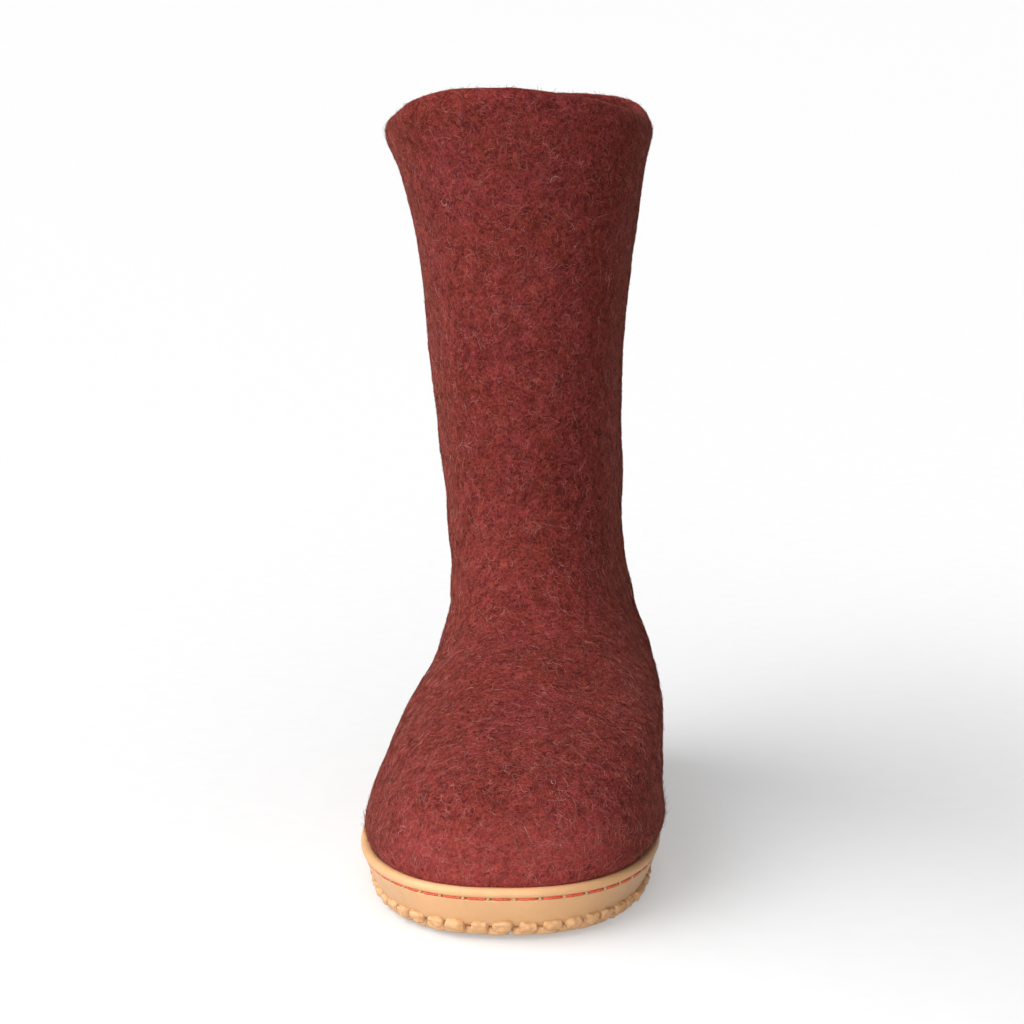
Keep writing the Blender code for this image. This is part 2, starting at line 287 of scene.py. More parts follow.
def smooth(places, values, wanted):
    """A smooth curve through values at rising places, read at the wanted places."""
    shape = (-1,) + (1,) * (values.ndim - 1)
    last = len(places) - 1
    low, high = np.maximum(np.arange(last + 1) - 1, 0), np.minimum(np.arange(last + 1) + 1, last)
    slopes = (values[high] - values[low]) / (places[high] - places[low]).reshape(shape)
    i = np.clip(np.searchsorted(places, wanted, side="right") - 1, 0, last - 1)
    width = (places[i + 1] - places[i]).reshape(shape)
    t = (wanted - places[i]).reshape(shape) / width
    rise = width * (slopes[i] * t * (1 - t) ** 2 - slopes[i + 1] * t**2 * (1 - t))
    return values[i] + (values[i + 1] - values[i]) * (t**2 * (3 - 2 * t)) + rise


def curve(table, column, at):
    """A smooth curve through one column of a table, read at values of its first column."""
    return smooth(table[:, 0], table[:, column], at)


def spring(y):
    """How far the sole curves up off the floor towards the toe."""
    return TOE_SPRING * (np.maximum(BALL_Y - y, 0.0) / (BALL_Y - TOE_Y)) ** 2


def ring_plan(angle, front, back, outer, inner, foot):
    """Plan of a level ring at the angles, 0 at the front and turning past the inner side."""
    station = (1 - np.cos(angle)) / 2
    inner_side = np.sin(angle) >= 0
    oval = np.maximum(1 - np.abs(np.cos(angle)) ** SHAFT_ROUNDNESS, 0) ** (1 / SHAFT_ROUNDNESS)
    toe = np.maximum(1 - station / BALL_STATION, 0.0)
    heel = np.clip((station - HEEL_STATION) / (1 - HEEL_STATION), 0.0, 1.0)
    toe_turn = (1 - toe**TOE_ROUNDNESS) ** (1 / TOE_ROUNDNESS)
    heel_turn = (1 - heel**HEEL_ROUNDNESS) ** (1 / HEEL_ROUNDNESS)
    wide = np.where(inner_side, curve(FOOTPRINT, 2, station), curve(FOOTPRINT, 1, station))
    across = mix(oval, wide * toe_turn * heel_turn, foot)
    axis = mix((outer + inner) / 2, BALL_WIDTH * mix(TOE_AXIS, HEEL_AXIS, station), foot)
    side = np.where(inner_side, inner, outer)
    return np.stack((mix(axis, side, across), mix(front, back, station)), -1)


def lip_plan(angle):
    return ring_plan(angle, TOE_Y, HEEL_Y, -BALL_WIDTH / 2, BALL_WIDTH / 2, 1.0)


def lip_along(angle, step=0.01):
    """Direction along the lip, turning past the inner side."""
    along = lip_plan(angle + step) - lip_plan(angle - step)
    return along / np.linalg.norm(along, axis=-1, keepdims=True)


def lip_outward(angle):
    along = lip_along(angle)
    return np.stack((along[..., 1], -along[..., 0]), -1)


def lip_lengths():
    """Angles close together round the lip, and the length of the lip up to each."""
    fine = np.linspace(0, math.tau, 4001)
    steps = np.linalg.norm(np.diff(lip_plan(fine), axis=0), axis=1)
    return fine, np.concatenate(([0.0], np.cumsum(steps)))


def lip_length():
    return lip_lengths()[1][-1]


def even_angles(count, phase=0.0):
    """Angles of points spaced evenly round the lip."""
    fine, lengths = lip_lengths()
    wanted = lengths[-1] * ((np.arange(count) + phase) % count) / count
    return np.interp(wanted, lengths, fine)


def sole_ring(angles, inset, height):
    """Ring at a distance inside the lip's plan and a height above the sole's underside curve."""
    flat = lip_plan(angles) - lip_outward(angles) * inset
    return np.column_stack((flat, height + spring(flat[:, 1])))


def slant(height, bulge=1.0):
    """How far the wall of the sole leans in at a height."""
    return SIDE_SLANT * ((SOLE_HEIGHT - height) / (SOLE_HEIGHT - TREAD_DEPTH)) ** bulge


def corner_rows(radius, steps=3):
    """Inset and height of the round under the edge of the felt foot."""
    middle_height = TREAD_DEPTH + FLOOR_THICKNESS + CLEARANCE + FEATHER_RADIUS
    middle_inset = CUP_WALL + CLEARANCE + slant(middle_height) + FEATHER_RADIUS
    turns = np.linspace(0, math.pi / 2, steps + 1)
    return [(middle_inset - radius * math.sin(t), middle_height - radius * math.cos(t)) for t in turns]


def foot_ring(angles, height, front, back, outer, inner, foot):
    front_y = TOE_Y + front * VAMP_LENGTH
    back_y = HEEL_Y - back * HEEL_HOLLOW
    outer_x = mix(ANKLE_SHIFT - ANKLE_WIDTH / 2, -BALL_WIDTH / 2, outer)
    inner_x = mix(ANKLE_SHIFT + ANKLE_WIDTH / 2, BALL_WIDTH / 2, inner)
    flat = ring_plan(angles, front_y, back_y, outer_x, inner_x, foot)
    level = height * ANKLE_HEIGHT + spring(flat[:, 1]) * (1 - height)
    return np.column_stack((flat, level))


def shaft_ring(angles, height, width, shift, depth, back):
    back_y = HEEL_Y - back * HEEL_HOLLOW
    front_y = back_y - mix(ANKLE_DEPTH, COLLAR_DEPTH, depth)
    middle = mix(ANKLE_SHIFT, COLLAR_SHIFT, shift)
    half = mix(ANKLE_WIDTH, COLLAR_WIDTH, width) / 2
    flat = ring_plan(angles, front_y, back_y, middle - half, middle + half, 0.0)
    drop = COLLAR_DIP * curve(COLLAR_EDGE, 1, angles / math.tau) * height**COLLAR_DROP_POWER
    return np.column_stack((flat, mix(ANKLE_HEIGHT, COLLAR_HEIGHT, height) - drop))


def felt_rings(angles):
    rings = [sole_ring(angles, *row) for row in corner_rows(FEATHER_RADIUS)]
    rings.append(sole_ring(angles, CUP_WALL + CLEARANCE, SOLE_HEIGHT))
    rings.extend(foot_ring(angles, *row) for row in FOOT_LEVELS)
    rings.extend(shaft_ring(angles, *row) for row in SHAFT_LEVELS)
    return np.array(rings)


def between_rings(rings, spacing):
    """Evenly spaced rings on a smooth curve through the given ones."""
    gaps = np.linalg.norm(np.diff(rings, axis=0), axis=2).mean(1)
    at = np.concatenate(([0.0], np.cumsum(gaps)))
    return smooth(at, rings, np.linspace(0, at[-1], int(at[-1] / spacing) + 1))


def grid_normals(grid):
    """Outward normals of a grid of rings."""
    across = np.roll(grid, -1, 1) - np.roll(grid, 1, 1)
    up = np.gradient(grid, axis=0)
    normal = np.cross(across, up)
    return normal / np.maximum(np.linalg.norm(normal, axis=2, keepdims=True), 1e-12)


def perlin(points, size, shift=0.0, kind="PERLIN_ORIGINAL"):
    """Noise between about -1 and 1 at each point, with features of a size."""
    flat = points.reshape(-1, 3) / size + shift
    made = np.array([noise.noise(Vector(point), noise_basis=kind) for point in flat])
    return made.reshape(points.shape[:-1])


def loft_faces(rows, columns):
    """Faces between rings, outside out where the rings climb."""
    row, column = np.meshgrid(np.arange(rows - 1), np.arange(columns), indexing="ij")
    following = (column + 1) % columns
    corners = (row * columns + column, row * columns + following,
               (row + 1) * columns + following, (row + 1) * columns + column)
    return np.stack(corners, -1).reshape(-1, 4)


def cap_faces(first, columns, upwards):
    """Faces across a closed ring, from one side to the other."""
    faces = []
    for i in range(columns // 2):
        corners = [first + i, first + i + 1, first + (columns - i - 1) % columns,
                   first + (columns - i) % columns]
        corners = list(dict.fromkeys(corners))
        faces.append(corners if upwards else corners[::-1])
    return faces


def make_piece(name, points, faces, material, smooth=True):
    mesh = bpy.data.meshes.new(name)
    mesh.from_pydata(np.asarray(points).reshape(-1, 3).tolist(), [], [list(f) for f in faces])
    mesh.polygons.foreach_set("use_smooth", [smooth] * len(mesh.polygons))
    mesh.materials.append(material)
    mesh.update()
    piece = bpy.data.objects.new(name, mesh)
    bpy.context.scene.collection.objects.link(piece)
    return piece


def join_blocks(name, blocks, material):
    """One piece of many separate blocks, each given as its points and its faces."""
    points, faces, total = [], [], 0
    for block_points, block_faces in blocks:
        points.append(block_points)
        faces.append(block_faces + total)
        total += len(block_points)
    return make_piece(name, np.concatenate(points), np.concatenate(faces), material)


# Materials


class Shade:
    """A material's nodes, built one call at a time."""

    def __init__(self, name, colour, roughness):
        self.material = bpy.data.materials.new(name)
        self.material.use_nodes = True
        self.tree = self.material.node_tree
        self.shader = self.tree.nodes["Principled BSDF"]
        self.set(**{"Base Color": (*colour, 1.0), "Roughness": roughness})
        self.place = self.tree.nodes.new("ShaderNodeTexCoord").outputs["Object"]

    def set(self, **values):
        for name, value in values.items():
            self.shader.inputs[name].default_value = value

    def node(self, kind, **inputs):
        made = self.tree.nodes.new(kind)
        for name, value in inputs.items():
            socket = made.inputs[name.replace("_", " ")]
            if isinstance(value, bpy.types.NodeSocket):
                self.tree.links.new(value, socket)
            else:
                socket.default_value = value
        return made

    def noise(self, size, detail=3.0, roughness=0.5, distortion=0.0, place=None):
        made = self.node("ShaderNodeTexNoise", Vector=place or self.place, Scale=1 / size,
                         Detail=detail, Roughness=roughness, Distortion=distortion)
        return made.outputs["Fac"]

    def edges(self, size, place=None):
        made = self.node("ShaderNodeTexVoronoi", Vector=place or self.place, Scale=1 / size)
        made.feature = "DISTANCE_TO_EDGE"
        return made.outputs["Distance"]

    def share(self, value, start, end):
        """0 at the start and 1 at the end of a range of values, smoothly."""
        made = self.node("ShaderNodeMapRange", Value=value, **{"From Min": start, "From Max": end})
        made.interpolation_type = "SMOOTHSTEP"
        return made.outputs["Result"]

    def toe(self):
        """1 on the front of the toe cap, where the felt gets a painted highlight, 0 elsewhere."""
        axes = self.node("ShaderNodeSeparateXYZ", Vector=self.place)
        low = self.share(axes.outputs["Z"], 0.047, 0.030)
        front = self.share(axes.outputs["Y"], TOE_Y + 0.042, TOE_Y + 0.012)
        return self.math("MULTIPLY", low, front)

    def bend(self, size, amount):
        """Object coordinates pushed about by noise, for curly lines."""
        made = self.node("ShaderNodeTexNoise", Vector=self.place, Scale=1 / size, Detail=2.0)
        middle = self.node("ShaderNodeVectorMath", **{"Vector": made.outputs["Color"]})
        middle.operation = "SUBTRACT"
        middle.inputs[1].default_value = (0.5, 0.5, 0.5)
        large = self.node("ShaderNodeVectorMath", **{"Vector": middle.outputs["Vector"]})
        large.operation = "SCALE"
        large.inputs["Scale"].default_value = amount
        total = self.node("ShaderNodeVectorMath", **{"Vector": large.outputs["Vector"]})
        total.operation = "ADD"
        self.tree.links.new(self.place, total.inputs[1])
        return total.outputs["Vector"]

    def ramp(self, value, *stops):
        """Grey or colour stops, each a place and a value, read at a value."""
        made = self.node("ShaderNodeValToRGB", Fac=value)
        elements = made.color_ramp.elements
        while len(elements) < len(stops):
            elements.new(0.5)
        for element, (at, shade) in zip(elements, stops):
            element.position = at
            colour = shade if isinstance(shade, tuple) else (shade,) * 3
            element.color = (*colour, 1.0)
        return made.outputs["Color"]

    def blend(self, share, low, high, kind="MIX"):
        made = self.tree.nodes.new("ShaderNodeMix")
        made.data_type = "RGBA"
        made.blend_type = kind
        for socket, value in ((0, share), (6, low), (7, high)):
            target = made.inputs[socket]
            if isinstance(value, bpy.types.NodeSocket):
                self.tree.links.new(value, target)
            elif socket:
                target.default_value = (*value, 1.0)
            else:
                target.default_value = value
        return made.outputs[2]

    def math(self, kind, first, second):
        made = self.tree.nodes.new("ShaderNodeMath")
        made.operation = kind
        for socket, value in enumerate((first, second)):
            if isinstance(value, bpy.types.NodeSocket):
                self.tree.links.new(value, made.inputs[socket])
            else:
                made.inputs[socket].default_value = value
        return made.outputs["Value"]

    def link(self, output, name):
        self.tree.links.new(output, self.shader.inputs[name])

    def bump(self, *heights):
        """Bumps laid over each other, each a height, its depth and its strength."""
        normal = None
        for height, depth, strength in heights:
            made = self.node("ShaderNodeBump", Height=height, Distance=depth, Strength=strength)
            if normal is not None:
                self.tree.links.new(normal, made.inputs["Normal"])
            normal = made.outputs["Normal"]
        self.link(normal, "Normal")


def felt_material(name, rust, rose, dark, roughness=0.95):
    """Felted wool: cloudy rust and rose, dark specks and a mat of curly fibres."""
    shade = Shade(name, rust, roughness)
    clouds = shade.ramp(shade.noise(0.022, 3.0, 0.6, 0.8), (0.36, 0.0), (0.66, 1.0))
    base = shade.blend(clouds, rust, rose)
    patches = shade.ramp(shade.noise(0.007, 4.0, 0.65, 1.0), (0.30, 0.70), (0.52, 1.0), (0.74, 1.26))
    base = shade.blend(1.0, base, patches, "MULTIPLY")
    grain = shade.noise(0.0024, 5.0, 0.7, 1.2)
    base = shade.blend(1.0, base, shade.ramp(grain, (0.28, 0.36), (0.5, 1.0), (0.72, 1.65)), "MULTIPLY")
    # Painted highlight: the front of the toe cap turns towards an even mix of rust and rose.
    base = shade.blend(shade.math("MULTIPLY", shade.toe(), 0.55), base, shade.blend(0.5, rust, rose))
    curly = shade.edges(0.0017, shade.bend(0.0021, 0.0026))
    base = shade.blend(1.0, base, shade.ramp(curly, (0.0, 1.45), (0.09, 1.0), (0.5, 0.78)), "MULTIPLY")
    # Painted highlight: the front of the toe cap is made up to 1.46 times brighter.
    base = shade.blend(1.0, base, shade.ramp(shade.toe(), (0.0, 1.0), (1.0, 1.46)), "MULTIPLY")
    specks = shade.ramp(shade.noise(0.0030, 3.0, 0.6, 1.2), (0.61, 0.0), (0.70, 0.75))
    base = shade.blend(specks, base, dark)
    shade.link(base, "Base Color")
    shade.bump((grain, 0.0007, 0.5), (curly, 0.0005, 0.5), (shade.noise(0.0007, 2.0), 0.0003, 0.4))
    shade.set(**{"Sheen Weight": 0.15, "Sheen Roughness": 0.3, "Sheen Tint": (1.0, 0.48, 0.36, 1.0),
                 "Specular IOR Level": 0.0})
    return shade.material


def fibre_material(name, colour):
    shade = Shade(name, colour, 0.7)
    tone = shade.ramp(shade.noise(0.004, 2.0), (0.3, 0.6), (0.7, 1.4))
    shade.link(shade.blend(1.0, colour, tone, "MULTIPLY"), "Base Color")
    shade.set(**{"Specular IOR Level": 0.0})
    return shade.material


def rubber_material(name, colour, lumpy):
    shade = Shade(name, colour, 0.42)
    clouds = shade.ramp(shade.noise(0.03, 3.0, 0.55), (0.35, 0.95), (0.65, 1.04))
    base = shade.blend(1.0, colour, clouds, "MULTIPLY")
    marks = shade.ramp(shade.noise(0.0032, 5.0, 0.7, 0.6), (0.3, 0.95), (0.62, 1.0))
    base = shade.blend(1.0, base, marks, "MULTIPLY")
    shade.link(base, "Base Color")
    shade.link(shade.ramp(shade.noise(0.006, 4.0, 0.6), (0.3, 0.40), (0.7, 0.56)), "Roughness")
    fine = shade.noise(0.0005, 3.0, 0.6)
    shade.bump((shade.noise(0.0016, 3.0, 0.6), 0.0004 * lumpy, 0.5), (fine, 0.00006, 0.4))
    shade.set(**{"Subsurface Weight": 0.12, "Subsurface Radius": (1.0, 0.6, 0.3),
                 "Subsurface Scale": 0.002, "Specular IOR Level": 0.4})
    return shade.material


def thread_material(name, colour):
    shade = Shade(name, colour, 0.5)
    twist = shade.noise(0.0006, 2.0, 0.5, 0.5)
    tone = shade.ramp(twist, (0.35, 0.7), (0.65, 1.25))
    shade.link(shade.blend(1.0, colour, tone, "MULTIPLY"), "Base Color")
    shade.bump((twist, 0.0002, 0.6))
    return shade.material


def plain_material(name, colour, roughness):
    shade = Shade(name, colour, roughness)
    tone = shade.ramp(shade.noise(0.01, 2.0), (0.3, 0.97), (0.7, 1.0))
    shade.link(shade.blend(1.0, colour, tone, "MULTIPLY"), "Base Color")
    return shade.material


FELT_RUST = (0.108, 0.0178, 0.0138)
FELT_ROSE = (0.122, 0.0200, 0.0196)
FELT_DARK = (0.034, 0.0090, 0.0125)
# The lining's colours are a darker copy of the felt's: painted shade inside the shaft.
LINING_PAINTED_SHADE = (0.034, 0.0085, 0.0055)
LINING_ROSE_PAINTED_SHADE = (0.040, 0.0095, 0.0070)
INSOLE_RUST = (0.085, 0.017, 0.013)
INSOLE_ROSE = (0.10, 0.020, 0.018)
RUBBER = (0.50, 0.276, 0.128)
BRIDGE = (0.44, 0.235, 0.110)
THREAD = (0.53, 0.064, 0.022)
# Dark brown of the stitch holes: painted shade.
HOLE_PAINTED_SHADE = (0.10, 0.045, 0.022)


# Felt


def crease_lift(points, angles):
    """How far the creases push each point of the felt out or in."""
    lift = np.zeros(points.shape[:2])
    for height, rise, half, depth, middle, reach in CREASES:
        away = (angles - middle + math.pi) % math.tau - math.pi
        wander = perlin(points[0] * (1, 1, 0), 0.03, height * 900) * half * 0.7
        line = height + rise * points[..., 0] + wander[None, :]
        across = (points[..., 2] - line) / half
        lift += depth * np.exp(-(across**2)) * np.exp(-((away / reach) ** 2))[None, :]
    return lift


def make_felt():
    """The felt's outside, its rounded rim and its lining, as one closed mesh."""
    angles = even_angles(FELT_COLUMNS)
    outer = between_rings(felt_rings(angles), FELT_ROW)[:-1]
    normals = grid_normals(outer)
    lift = sum(height * perlin(outer, size, 5.0) for size, height in LUMPS)
    lift += crease_lift(outer, angles)
    seated = np.clip((outer[..., 2] - SOLE_HEIGHT - LUMPS_START) / LUMPS_REACH, 0.0, 1.0)
    swell = LIP_SWELL * np.exp(-(((outer[..., 2] - SOLE_HEIGHT) / LIP_SWELL_REACH - 1) ** 2))
    swell *= outer[..., 2] > SOLE_HEIGHT - LIP_HEIGHT
    near_edge = np.clip(1 - (outer[-1, :, 2] - outer[..., 2]) / EDGE_ROUND, 0.0, 1.0)
    outer = outer + normals * (lift * seated + swell - EDGE_FOLD * near_edge**2)[..., None]
    wall = FELT_WALL - CLEARANCE
    edge, edge_normal = outer[-1], normals[-1]
    up = np.gradient(outer, axis=0)[-1]
    up = up / np.linalg.norm(up, axis=1, keepdims=True)
    rim = []
    for k in range(1, RIM_ROWS):
        turn = math.pi * k / RIM_ROWS
        side = (math.cos(turn) - 1) * wall / 2
        rim.append(edge + edge_normal * side + up * math.sin(turn) * wall / 2)
    step = round(LINING_ROW / FELT_ROW)
    lining = (outer - normals * wall)[::-1][::step]
    lining[0] = outer[-1] - normals[-1] * wall
    grid = np.concatenate((outer, np.array(rim), lining))
    faces = list(loft_faces(len(grid), FELT_COLUMNS))
    faces += cap_faces(0, FELT_COLUMNS, False)
    faces += cap_faces((len(grid) - 1) * FELT_COLUMNS, FELT_COLUMNS, True)
    felt = make_piece("felt", grid, faces, felt_material("felt", FELT_RUST, FELT_ROSE, FELT_DARK))
    # The lining gets the darker felt: painted shade inside the shaft.
    felt.data.materials.append(felt_material("lining", LINING_PAINTED_SHADE, LINING_ROSE_PAINTED_SHADE, FELT_DARK))
    first = (len(outer) + RIM_ROWS) * FELT_COLUMNS
    inside = [polygon.vertices[0] >= first for polygon in felt.data.polygons]
    felt.data.polygons.foreach_set("material_index", np.array(inside, dtype=np.int32))
    return felt, np.concatenate((outer, np.array(rim), lining[:HAIRY_LINING_ROWS]))


def make_fibres(name, grid, count, colour, length, width, lift, curl, parts, at_toe, rng):
    """Loose curly wool fibres on the felt, each a narrow ribbon, denser or sparser at the toe."""
    normals = grid_normals(grid)
    rows, columns = grid.shape[:2]
    edge_row = rows - SHORT_HAIR_ROWS
    across = np.linalg.norm(np.roll(grid, -1, 1) - grid, axis=2)[:-1]
    along = np.linalg.norm(np.diff(grid, axis=0), axis=2)
    front = np.clip((TOE_Y + TOE_CAP_LENGTH - grid[:-1, :, 1]) / TOE_CAP_FADE, 0.0, 1.0)
    front *= grid[:-1, :, 2] < TOE_CAP_HEIGHT
    area = across * along * mix(1.0, at_toe, front)
    area[:FIRST_HAIRY_ROW] = 0.0
    share = np.cumsum(area.ravel())
    cell = np.searchsorted(share, rng.random(count) * share[-1])
    row, column = np.divmod(cell, columns)
    u, v = rng.random((2, count, 1))
    following = (column + 1) % columns
    spot = mix(mix(grid[row, column], grid[row, following], u),
               mix(grid[row + 1, column], grid[row + 1, following], u), v)
    normal = normals[row, column]
    tangent = grid[row, following] - grid[row, column]
    tangent /= np.linalg.norm(tangent, axis=1, keepdims=True)
    side = np.cross(normal, tangent)
    heading = rng.random(count) * math.tau
    lengths = length * rng.uniform(0.5, 1.5, count) * np.where(row >= edge_row, EDGE_FIBRE_LENGTH, 1.0)
    turning = rng.normal(0.0, curl, count)
    rise = lift * rng.uniform(0.1, 1.6, count)
    roll = rng.uniform(-1.0, 1.0, count)
    points = [spot + normal * FIBRE_GAP]
    step = (lengths / parts)[:, None]
    for k in range(parts):
        heading = heading + turning / parts + rng.normal(0.0, 0.20, count)
        ahead = tangent * np.cos(heading)[:, None] + side * np.sin(heading)[:, None]
        arch = math.cos(math.pi * (k + 0.5) / parts * 0.8)
        points.append(points[-1] + ahead * step + normal * (rise * arch / parts)[:, None])
    points = np.stack(points, 1)
    ahead = np.gradient(points, axis=1)
    flat = np.cross(ahead, normal[:, None, :])
    flat /= np.maximum(np.linalg.norm(flat, axis=2, keepdims=True), 1e-12)
    broad = flat * np.cos(roll)[:, None, None] + normal[:, None, :] * np.sin(roll)[:, None, None]
    taper = np.array([0.75] + [1.0] * (parts - 1) + [0.35]) * width / 2
    verts = np.stack((points - broad * taper[None, :, None], points + broad * taper[None, :, None]), 2)
    base = np.arange(count)[:, None] * (parts + 1) * 2 + np.arange(parts)[None, :] * 2
    faces = np.stack((base, base + 1, base + 3, base + 2), -1).reshape(-1, 4)
    return make_piece(name, verts, faces, fibre_material(name, colour))


# Sole


def make_cup():
    """The rubber cup: underside, wall, groove, rolled lip and inside."""
    angles = even_angles(SOLE_COLUMNS)
    groove_top = SOLE_HEIGHT - LIP_HEIGHT
    groove_low = groove_top - GROOVE_WIDTH
    edge = slant(0.0)
    rows = [(edge + inset, TREAD_DEPTH) for inset in (0.020, 0.006, UNDER_BEND)]
    rows.append((edge + UNDER_BEND * 0.3, TREAD_DEPTH + UNDER_BEND * 0.25))
    for share in np.linspace(0, 1, WALL_ROWS):
        height = mix(TREAD_DEPTH + UNDER_BEND, groove_low - 0.0004, share)
        rows.append((slant(height, WALL_BULGE), height))
    low = slant(groove_low, WALL_BULGE)
    top = slant(groove_top, WALL_BULGE)
    rows += [(low + inset, groove_low + rise) for inset, rise in GROOVE_LOW_PROFILE]
    rows += [(top + inset, groove_top + rise) for inset, rise in GROOVE_TOP_PROFILE]
    rows += [(inset * CUP_WALL, groove_top + rise * LIP_HEIGHT) for inset, rise in LIP_PROFILE]
    rows += corner_rows(FEATHER_RADIUS + CLEARANCE * 0.5, 5)[::-1]
    grid = np.array([sole_ring(angles, inset, height) for inset, height in rows])
    wave = sum(height * perlin(grid, size, shift) for size, height, shift in SOLE_WAVES)
    grid = grid + grid_normals(grid) * wave[..., None]
    faces = list(loft_faces(len(grid), SOLE_COLUMNS))
    faces += cap_faces(0, SOLE_COLUMNS, False)
    faces += cap_faces((len(grid) - 1) * SOLE_COLUMNS, SOLE_COLUMNS, True)
    return make_piece("sole_cup", grid, faces, rubber_material("rubber_wall", RUBBER, 0.2))


def round_block(cuts, sharpness):
    """A cube with rounded edges, between -1 and 1, as points and faces."""
    steps = np.linspace(-1, 1, cuts + 1)
    points, faces = {}, []
    for axis in range(3):
        for side in (-1.0, 1.0):
            for i in range(cuts):
                for j in range(cuts):
                    corners = []
                    for a, b in ((i, j), (i + 1, j), (i + 1, j + 1), (i, j + 1)):
                        spot = [0.0, 0.0, 0.0]
                        spot[axis] = side
                        spot[(axis + 1) % 3] = steps[a]
                        spot[(axis + 2) % 3] = steps[b]
                        key = tuple(round(value, 6) for value in spot)
                        corners.append(points.setdefault(key, len(points)))
                    faces.append(corners if side > 0 else corners[::-1])
    cube = np.array(list(points))
    size = (np.abs(cube) ** sharpness).sum(1) ** (1 / sharpness)
    return cube / size[:, None], np.array(faces)


def sole_frame(angle):
    """Point on the lip's plan and the outward and along directions there, as vectors."""
    at = np.array([angle])
    flat = lip_plan(at)[0]
    outward = np.append(lip_outward(at)[0], 0.0)
    along = np.append(lip_along(at)[0], 0.0)
    return flat, outward, along


def turn_per_metre(angle, step=0.01):
    """How far the angle turns for a metre along the lip."""
    ends = lip_plan(np.array([angle - step / 2, angle + step / 2]))
    return step / np.linalg.norm(ends[1] - ends[0])


def pebble(cube, flat, outward, along, size, middle_height, standout, turn, seed):
    """One rounded, crumpled block on the leaning wall of the sole."""
    lean = math.atan2(SIDE_SLANT, SOLE_HEIGHT - TREAD_DEPTH) * 1.15
    up = UP * math.cos(lean) + outward * math.sin(lean)
    out = outward * math.cos(lean) - UP * math.sin(lean)
    width, height, depth = size
    face = slant(middle_height, WALL_BULGE) - standout
    middle = np.append(flat, middle_height + float(spring(flat[1]))) - outward * (face + depth / 2)
    side_axis = along * math.cos(turn) + up * math.sin(turn)
    up_axis = up * math.cos(turn) - along * math.sin(turn)
    body = (cube[:, :1] * side_axis * width / 2 + cube[:, 1:2] * up_axis * height / 2
            + cube[:, 2:] * out * depth / 2)
    place = middle + body
    dents = 0.45 - perlin(place, DENT_SIZE, seed, "VORONOI_F1")
    rough = dents * DENT_DEPTH + perlin(place, LUG_LUMP_SIZE, seed) * LUG_LUMP_HEIGHT
    return place + body / np.linalg.norm(body, axis=1, keepdims=True) * rough[:, None]


def make_lugs(rng):
    """The uneven pebbles round the edge, with smaller ones between and steps under them."""
    cube, cube_faces = round_block(10, 4.0)
    small, small_faces = round_block(5, 3.4)
    step_cube, step_faces = round_block(4, 9.0)
    step_height = TREAD_DEPTH + STEP_TUCK
    blocks = []

    def add(points, faces):
        points[:, 2] = np.maximum(points[:, 2], LOWEST)
        blocks.append((points, faces))

    for i, angle in enumerate(even_angles(round(lip_length() / LUG_PITCH))):
        seed = i * 3.7
        pitch = turn_per_metre(angle)
        angle = angle + rng.uniform(-LUG_SHIFT, LUG_SHIFT) * pitch
        width = LUG_WIDTH * rng.uniform(0.88, 1.10)
        height = LUG_HEIGHT * rng.uniform(0.92, 1.08)
        middle = STEP_HEIGHT * 1.35 + height / 2
        add(pebble(cube, *sole_frame(angle), (width, height, LUG_DEPTH), middle,
                   LUG_STANDOUT * rng.uniform(0.8, 1.15), rng.uniform(-0.10, 0.10), seed), cube_faces)
        width = LUG_WIDTH * rng.uniform(0.45, 0.60)
        height = LUG_HEIGHT * rng.uniform(0.42, 0.56)
        middle = STEP_HEIGHT * 0.4 + height / 2
        spot = sole_frame(angle - SMALL_LUG_OFFSET * pitch)
        add(pebble(small, *spot, (width, height, LUG_DEPTH * 0.8), middle,
                   LUG_STANDOUT * rng.uniform(0.35, 0.6), rng.uniform(-0.2, 0.2), seed + 1.3), small_faces)
        flat, outward, along = sole_frame(angle - rng.uniform(*STEP_SHIFT) * pitch)
        step_width = LUG_PITCH * rng.uniform(0.80, 0.92)
        proud = rng.uniform(-0.0002, 0.0003)
        middle = np.append(flat, float(spring(flat[1])) + step_height / 2)
        middle = middle - outward * (slant(0.0) - STEP_STANDOUT - proud + STEP_DEPTH / 2)
        body = (step_cube[:, :1] * along * step_width / 2 + step_cube[:, 2:] * outward * STEP_DEPTH / 2
                + step_cube[:, 1:2] * UP * step_height / 2)
        place = middle + body
        add(place + perlin(place, 0.0025, seed)[:, None] * 0.0003 * outward, step_faces)
    return join_blocks("sole_lugs", blocks, rubber_material("rubber_lugs", RUBBER, 1.0))


def make_tread(rng):
    """Rows of rounded blocks under the ball and the heel."""
    cube, cube_faces = round_block(4, 6.0)
    half_height = TREAD_DEPTH / 2 + TREAD_TUCK
    blocks = []
    for start, end in TREAD_SPANS:
        rows = round((end - start) / TREAD_ROW)
        for row in range(rows + 1):
            y = mix(start, end, row / rows)
            angle = math.acos(1 - 2 * (y - TOE_Y) / SOLE_LENGTH)
            sides = lip_plan(np.array([angle, math.tau - angle]))[:, 0]
            low, high = min(sides) + TREAD_MARGIN, max(sides) - TREAD_MARGIN
            if high - low < TREAD_NARROWEST:
                continue
            columns = max(1, round((high - low) / TREAD_COLUMN))
            offset = 0.5 + (TREAD_STAGGER if row % 2 else -TREAD_STAGGER)
            for column in range(columns):
                x = mix(low, high, (column + offset) / columns)
                scale = rng.uniform(0.9, 1.08)
                half = (TREAD_BLOCK[0] * scale, TREAD_BLOCK[1] * scale, half_height)
                middle = np.array((x, y, half_height + float(spring(y))))
                blocks.append((middle + cube * half, cube_faces))
    return join_blocks("sole_tread", blocks, rubber_material("rubber_tread", RUBBER, 1.0))


def groove_frame(angle):
    """Point at the open side of the groove and the outward and along directions there."""
    height = SOLE_HEIGHT - LIP_HEIGHT - GROOVE_WIDTH * 0.5
    flat, outward, along = sole_frame(angle)
    spot = np.append(flat, height + float(spring(flat[1]))) - outward * slant(height, WALL_BULGE)
    return spot, outward, along


